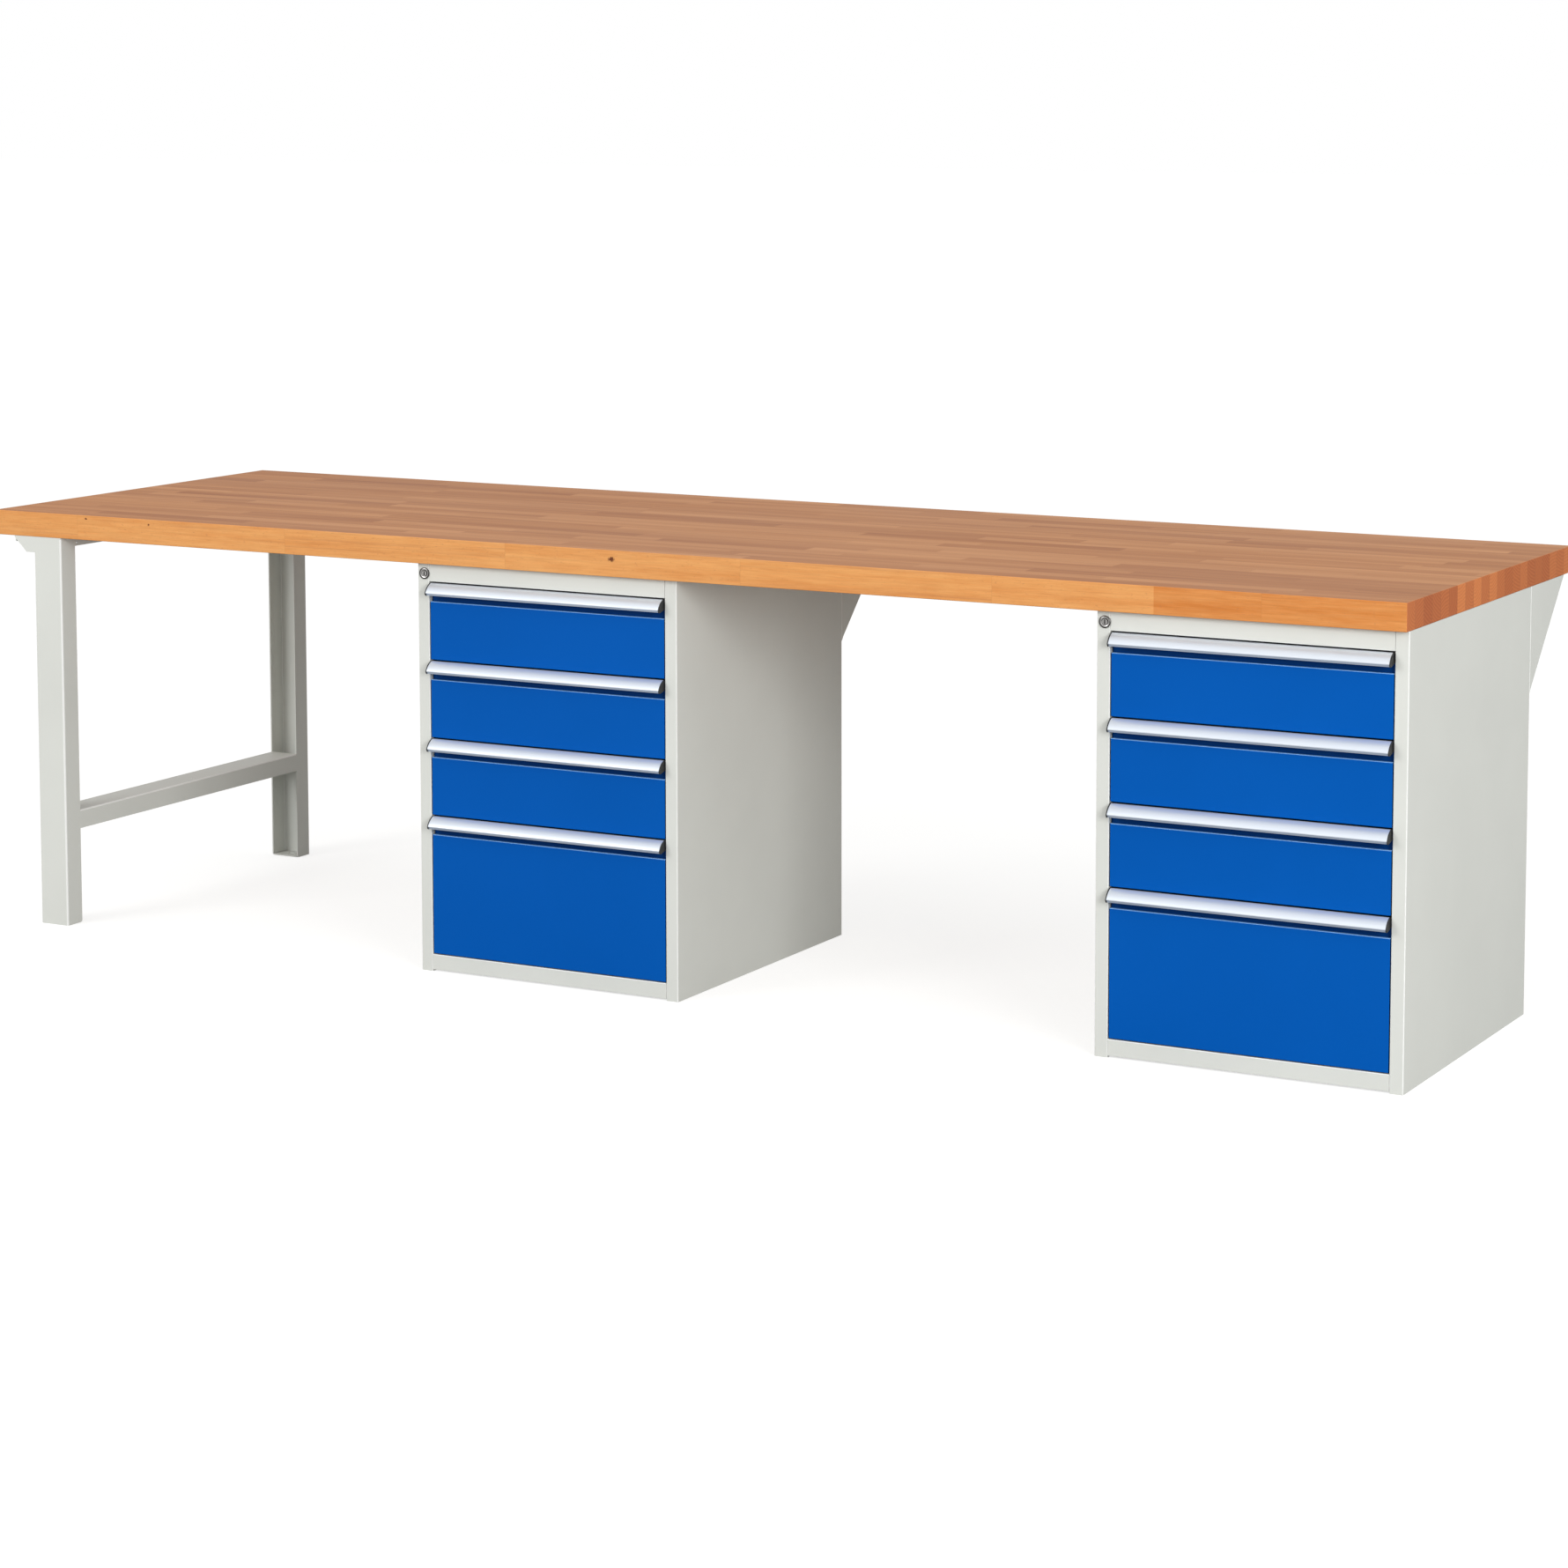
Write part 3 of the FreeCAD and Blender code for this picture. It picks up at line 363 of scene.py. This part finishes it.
ZINC_PLATE = zinc_plate()
dress("worktop_screws", ZINC_PLATE)
for side in SIDES:
    dress(f"{side}_fixed_rails", ZINC_PLATE)
    dress(f"{side}_lock_bar", ZINC_PLATE)
    for number in DRAWERS:
        dress(f"{side}_drawer_{number}_mid_rails", ZINC_PLATE)


# ---------------------------------------------------------------------------------------------
# Cabinet shells: side panels, back, lid, base and rear gusset folded from 1.5 mm steel and
# spot welded, with the same light grey powder coat as the legs.
# ---------------------------------------------------------------------------------------------
for side in SIDES:
    for panel in ("side_left", "side_right", "back", "lid", "base", "gusset"):
        dress(f"{side}_{panel}", GREY_COAT)


# ---------------------------------------------------------------------------------------------
# Cabinet locks: a turned, nickel-plated barrel with a domed rim, clipped into the left jamb,
# and a plug with a vertical key slot. Shade is painted in the gap round the plug, on the outer
# edge of the rim, in the slot and round it.
# ---------------------------------------------------------------------------------------------
NICKEL = (0.900, 0.885, 0.875)
NICKEL_DARK = (0.400, 0.380, 0.370)
# Colour of the shade painted on the lock.
LOCK_SHADE = (0.030, 0.026, 0.024)
PLUG_RADIUS = 5.5 * MM
RIM_RADIUS = 11.0 * MM


def nickel_plate(name, barrel):
    """Bright nickel with turned rings about the axis of one lock barrel."""
    low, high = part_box(barrel)
    axis = (low + high) / 2
    face = low.y
    material, tree, shader = new_material(name)
    x, y, z = split(tree, own_point(tree))
    wide, tall = calc(tree, "SUBTRACT", x, axis.x), calc(tree, "SUBTRACT", z, axis.z)
    square = calc(tree, "ADD", calc(tree, "MULTIPLY", wide, wide), calc(tree, "MULTIPLY", tall, tall))
    radius = calc(tree, "SQRT", square)
    rings = add(tree, "ShaderNodeCombineXYZ", {0: radius}).outputs[0]
    marks = noise(tree, rings, 2600.0, 2)
    colour = mixed(tree, marks, NICKEL_DARK, NICKEL)
    # Painted shade: in the gap round the plug, on the outer edge of the rim, in the slot and round it.
    from_gap = calc(tree, "ABSOLUTE", calc(tree, "SUBTRACT", radius, PLUG_RADIUS + 0.3 * MM))
    plug_gap_shade = between(tree, from_gap, 0.25 * MM, 0.6 * MM, 1, 0)
    outer = between(tree, radius, RIM_RADIUS - 3.0 * MM, RIM_RADIUS - 1.6 * MM, 0, 0.80)
    inside = between(tree, calc(tree, "SUBTRACT", y, face), 0.2 * MM, 1.2 * MM)
    slot = calc(tree, "MULTIPLY", inside, calc(tree, "LESS_THAN", radius, PLUG_RADIUS - 0.5 * MM))
    slot_rim_shade = calc(tree, "MULTIPLY", between(tree, calc(tree, "ABSOLUTE", wide), 0.8 * MM, 1.3 * MM, 1, 0),
                 between(tree, calc(tree, "ABSOLUTE", tall), 3.9 * MM, 4.4 * MM, 1, 0))
    shade = calc(tree, "MAXIMUM", calc(tree, "MAXIMUM", plug_gap_shade, slot),
                 calc(tree, "MAXIMUM", outer, slot_rim_shade))
    tree.links.new(mixed(tree, shade, colour, LOCK_SHADE), shader.inputs["Base Color"])
    shader.inputs["Metallic"].default_value = 1.0
    tree.links.new(between(tree, marks, 0.3, 0.7, 0.14, 0.26), shader.inputs["Roughness"])
    across_rim = between(tree, radius, PLUG_RADIUS, RIM_RADIUS, 0, 1)
    dome = calc(tree, "SINE", calc(tree, "MULTIPLY", across_rim, math.pi))
    height = calc(tree, "ADD", dome, calc(tree, "MULTIPLY", marks, 0.02))
    raised(tree, shader, height, 1.0, 1.2 * MM)
    return material


for side in SIDES:
    plate = nickel_plate(f"{side}_lock_nickel", f"{side}_lock_barrel")
    dress(f"{side}_lock_barrel", plate)
    dress(f"{side}_lock_plug", plate)


# ---------------------------------------------------------------------------------------------
# Drawer fronts and trays: folded steel, the fronts powder coated blue and the trays grey. The
# blue face meets the ledge under the grip in a tight bend. A highlight is painted along the
# ledge, and shade is painted at the back of the recess and on the sides of each front.
# ---------------------------------------------------------------------------------------------
BLUE = (0.000, 0.094, 0.430)
# The pale blue is a painted highlight along the ledge.
BLUE_LEDGE_HIGHLIGHT = (0.300, 0.580, 1.000)
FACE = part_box("left_drawer_1_front")[0].y
RECESS = (FACE + 3.0 * MM, FACE + 8.0 * MM)
BLUE_COAT = powder_coated("blue_coat", BLUE, BLUE_LEDGE_HIGHLIGHT, 0.38, 0.06, RECESS)
for side in SIDES:
    for number in DRAWERS:
        dress(f"{side}_drawer_{number}_front", BLUE_COAT)
        dress(f"{side}_drawer_{number}_tray", GREY_COAT)


# ---------------------------------------------------------------------------------------------
# Grips: extruded aluminium rail across each drawer front, satin anodised, with the fine
# lengthwise lines that the die leaves. Shade is painted on its lip under the tip, and on
# its flat seat where it meets the front.
# ---------------------------------------------------------------------------------------------
ANODISED = (0.845, 0.895, 0.960)
ANODISED_DARK = (0.740, 0.800, 0.880)
ANODISED_LIP_SHADE = (0.380, 0.440, 0.540)
GRIP_SEAT_SHADE = (0.020, 0.021, 0.024)


def anodised_aluminium(tip, seat):
    """Satin anodised, with shade painted on the lip behind the tip and on the flat seat at the front."""
    material, tree, shader = new_material("satin_anodised")
    point = own_point(tree)
    lines = noise(tree, stretched(tree, point, (3, 1800, 1800)), 1.0, 2, 0.6)
    y = split(tree, point)[1]
    facing = own_facing(tree)
    _, side_y, side_z = split(tree, facing)
    # Painted shade on the lip, which faces front just under the tip.
    lip = calc(tree, "MULTIPLY", between(tree, side_y, -0.85, -0.95),
               between(tree, y, tip + MM, tip + 1.5 * MM))
    # Painted shade: the flat seat that faces up behind the face is made nearly black.
    seat_shade = calc(tree, "MULTIPLY", between(tree, side_z, 0.90, 0.98),
                  between(tree, y, seat - MM, seat))
    colour = mixed(tree, lines, ANODISED_DARK, ANODISED)
    colour = mixed(tree, lip, colour, ANODISED_LIP_SHADE)
    tree.links.new(mixed(tree, seat_shade, colour, GRIP_SEAT_SHADE), shader.inputs["Base Color"])
    shader.inputs["Metallic"].default_value = 0.62
    tree.links.new(between(tree, lines, 0.3, 0.7, 0.36, 0.46), shader.inputs["Roughness"])
    raised(tree, shader, lines, 0.06, 0.0001)
    return material


ANODISED_RAIL = anodised_aluminium(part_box("left_drawer_1_grip")[0].y, FACE)
for side in SIDES:
    for number in DRAWERS:
        dress(f"{side}_drawer_{number}_grip", ANODISED_RAIL)


# ---------------------------------------------------------------------------------------------
# Grip end caps: black moulded plastic plates pressed into both ends of each grip. They follow
# the grip's outline, stand a hair proud of it and close the hollow behind its curved face.
# ---------------------------------------------------------------------------------------------
CAP_THICKNESS = 2.0 * MM
CAP_RIM = 0.9 * MM
GRIP_CURVE = 34.0 * MM
GRIP_NOSE_DROP = 17.0 * MM
GRIP_FLAT_TOP = 19.0 * MM
CURVE_STEPS = 12
BLACK_PLASTIC = (0.012, 0.013, 0.014)
BLACK_PLASTIC_WORN = (0.030, 0.031, 0.032)


def black_plastic():
    """Black moulded plastic with a fine grain."""
    material, tree, shader = new_material("black_cap_plastic")
    grain = noise(tree, own_point(tree), 1400.0, 2, 0.5)
    tree.links.new(mixed(tree, grain, BLACK_PLASTIC, BLACK_PLASTIC_WORN), shader.inputs["Base Color"])
    tree.links.new(between(tree, grain, 0.3, 0.7, 0.45, 0.6), shader.inputs["Roughness"])
    raised(tree, shader, grain, 0.15, 0.0001)
    return material


BLACK_CAP = black_plastic()


def cap_outline(low, high):
    """The cap's outline in Y and Z: the flat top, the curve down to the tip, lip and underside."""
    start = Vector((low.y + GRIP_FLAT_TOP, high.z))
    tip = Vector((low.y, high.z - GRIP_NOSE_DROP))
    chord = tip - start
    to_centre = Vector((-chord.y, chord.x)).normalized()
    centre = (start + tip) / 2 + to_centre * math.sqrt(GRIP_CURVE**2 - chord.length_squared / 4)
    first, last = (math.atan2(p.y - centre.y, p.x - centre.x) for p in (start, tip))
    if last < first:
        last += 2 * math.pi
    points = [Vector((high.y, high.z)), start]
    for step in range(1, CURVE_STEPS):
        angle = first + (last - first) * step / CURVE_STEPS
        points.append(centre + Vector((math.cos(angle), math.sin(angle))) * GRIP_CURVE)
    points += [tip, Vector((low.y, low.z + 3 * MM)), Vector((low.y + 2 * MM, low.z))]
    points += [Vector((low.y + 6 * MM, low.z)), Vector((high.y - 5 * MM, low.z + 5 * MM))]
    points.append(Vector((high.y - 1.5 * MM, low.z + 8 * MM)))
    return points


def end_cap(name, body, low, high, outer):
    """One cap: its outline swollen by the rim and thickened towards the jamb."""
    outline = cap_outline(low, high)
    middle = sum(outline, Vector((0, 0))) / len(outline)
    mesh = bpy.data.meshes.new(name)
    build = bmesh.new()
    ring = []
    for point in outline:
        swollen = point + (point - middle).normalized() * CAP_RIM
        ring.append(build.verts.new((outer, swollen.x, min(swollen.y, high.z))))
    face = build.faces.new(ring)
    inward = CAP_THICKNESS if outer < low.x else -CAP_THICKNESS
    thick = bmesh.ops.extrude_face_region(build, geom=[face])
    moved = [item for item in thick["geom"] if isinstance(item, bmesh.types.BMVert)]
    bmesh.ops.translate(build, verts=moved, vec=(inward, 0, 0))
    bmesh.ops.recalc_face_normals(build, faces=build.faces)
    build.to_mesh(mesh)
    build.free()
    piece = bpy.data.objects.new(name, mesh)
    bpy.context.collection.objects.link(piece)
    softened = piece.modifiers.new("moulded_edges", "BEVEL")
    softened.width = 0.35 * MM
    softened.segments = 2
    mesh.materials.append(BLACK_CAP)
    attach(piece, body)


for side in SIDES:
    for number in DRAWERS:
        drawer = f"{side}_drawer_{number}"
        low, high = (Vector(corner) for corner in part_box(f"{drawer}_grip"))
        end_cap(f"{drawer}_cap_left", drawer, low, high, low.x - CAP_THICKNESS)
        end_cap(f"{drawer}_cap_right", drawer, low, high, high.x + CAP_THICKNESS)


# ---------------------------------------------------------------------------------------------
# Studio: a pale floor that fades into a white room. Two large soft lights stand in front,
# high to the right and to the left, and the room is brighter above and in front than behind.
# ---------------------------------------------------------------------------------------------
FLOOR_HALF = 60.0
FLOOR_COLOUR = (0.42, 0.42, 0.41)
WHITE = (1.0, 1.0, 1.0)
ROOM_LOW = (0.60, 0.60, 0.59)
ROOM_HIGH = (0.84, 0.84, 0.84)
AIM = (0.2, 0.0, 0.4)


def studio_floor():
    """Grey as the bench sees it, nearly white as the camera does, with the soft shadows kept."""
    mesh = bpy.data.meshes.new("studio_floor")
    corners = [(-1, -1), (1, -1), (1, 1), (-1, 1)]
    mesh.from_pydata([(x * FLOOR_HALF, y * FLOOR_HALF, 0) for x, y in corners], [], [(0, 1, 2, 3)])
    floor = bpy.data.objects.new("studio_floor", mesh)
    bpy.context.collection.objects.link(floor)
    material, tree, shader = new_material("pale_floor")
    shade = grey(tree, between(tree, noise(tree, own_point(tree), 0.8, 2), 0.3, 0.7, 0.99, 1.0))
    tree.links.new(mixed(tree, 1.0, FLOOR_COLOUR, shade, "MULTIPLY"), shader.inputs["Base Color"])
    shader.inputs["Roughness"].default_value = 0.9
    shader.inputs["Specular IOR Level"].default_value = 0.0
    seen = add(tree, "ShaderNodeLightPath").outputs["Is Camera Ray"]
    tree.links.new(calc(tree, "MULTIPLY", seen, 0.72), shader.inputs["Emission Strength"])
    shader.inputs["Emission Color"].default_value = (*WHITE, 1.0)
    mesh.materials.append(material)


def soft_light(name, place, size, power):
    """A large square light at a place, aimed at the bench."""
    data = bpy.data.lights.new(name, "AREA")
    data.size = size
    data.energy = power
    light = bpy.data.objects.new(name, data)
    bpy.context.collection.objects.link(light)
    light.location = place
    light.rotation_euler = (Vector(AIM) - Vector(place)).to_track_quat("-Z", "Y").to_euler()


def studio_room():
    """White to the camera; as light, dim near the floor and bright above and in front."""
    world = bpy.data.worlds.new("studio_room")
    world.use_nodes = True
    tree = world.node_tree
    tree.nodes.clear()
    direction = add(tree, "ShaderNodeTexCoord").outputs["Generated"]
    _, ahead, up = split(tree, direction)
    glow = mixed(tree, between(tree, up, 0.05, 0.45), ROOM_LOW, ROOM_HIGH)
    glow = mixed(tree, 1.0, glow, grey(tree, between(tree, ahead, -0.5, 0.7, 1.0, 0.68)), "MULTIPLY")
    seen = add(tree, "ShaderNodeLightPath").outputs["Is Camera Ray"]
    colour = mixed(tree, seen, glow, WHITE)
    background = add(tree, "ShaderNodeBackground", {"Color": colour, "Strength": 1.0})
    output = add(tree, "ShaderNodeOutputWorld")
    tree.links.new(background.outputs[0], output.inputs["Surface"])
    bpy.context.scene.world = world


studio_floor()
studio_room()
soft_light("right_light", (6.6, -4.6, 2.4), 3.0, 295.0)
soft_light("left_light", (-3.8, -6.2, 3.2), 3.0, 165.0)
bpy.context.scene.view_settings.view_transform = "Standard"


# ---------------------------------------------------------------------------------------------
# Camera: to the right of the bench, a little above its top, with a long lens.
# ---------------------------------------------------------------------------------------------
CAMERA_AT = (3.656, -6.5265, 1.704)
CAMERA_TURN = -0.4880
CAMERA_DIP = 0.1002
camera_data = bpy.data.cameras.new("camera")
camera_data.sensor_width = 36.0
camera_data.lens = 88.92
camera_data.shift_x = -0.0346
camera_data.shift_y = -0.2006
camera_data.clip_end = 200.0
camera = bpy.data.objects.new("camera", camera_data)
bpy.context.collection.objects.link(camera)
camera.location = CAMERA_AT
turn = Matrix.Rotation(-CAMERA_TURN, 4, "Z") @ Matrix.Rotation(math.pi / 2 - CAMERA_DIP, 4, "X")
camera.rotation_euler = turn.to_euler()
bpy.context.scene.camera = camera
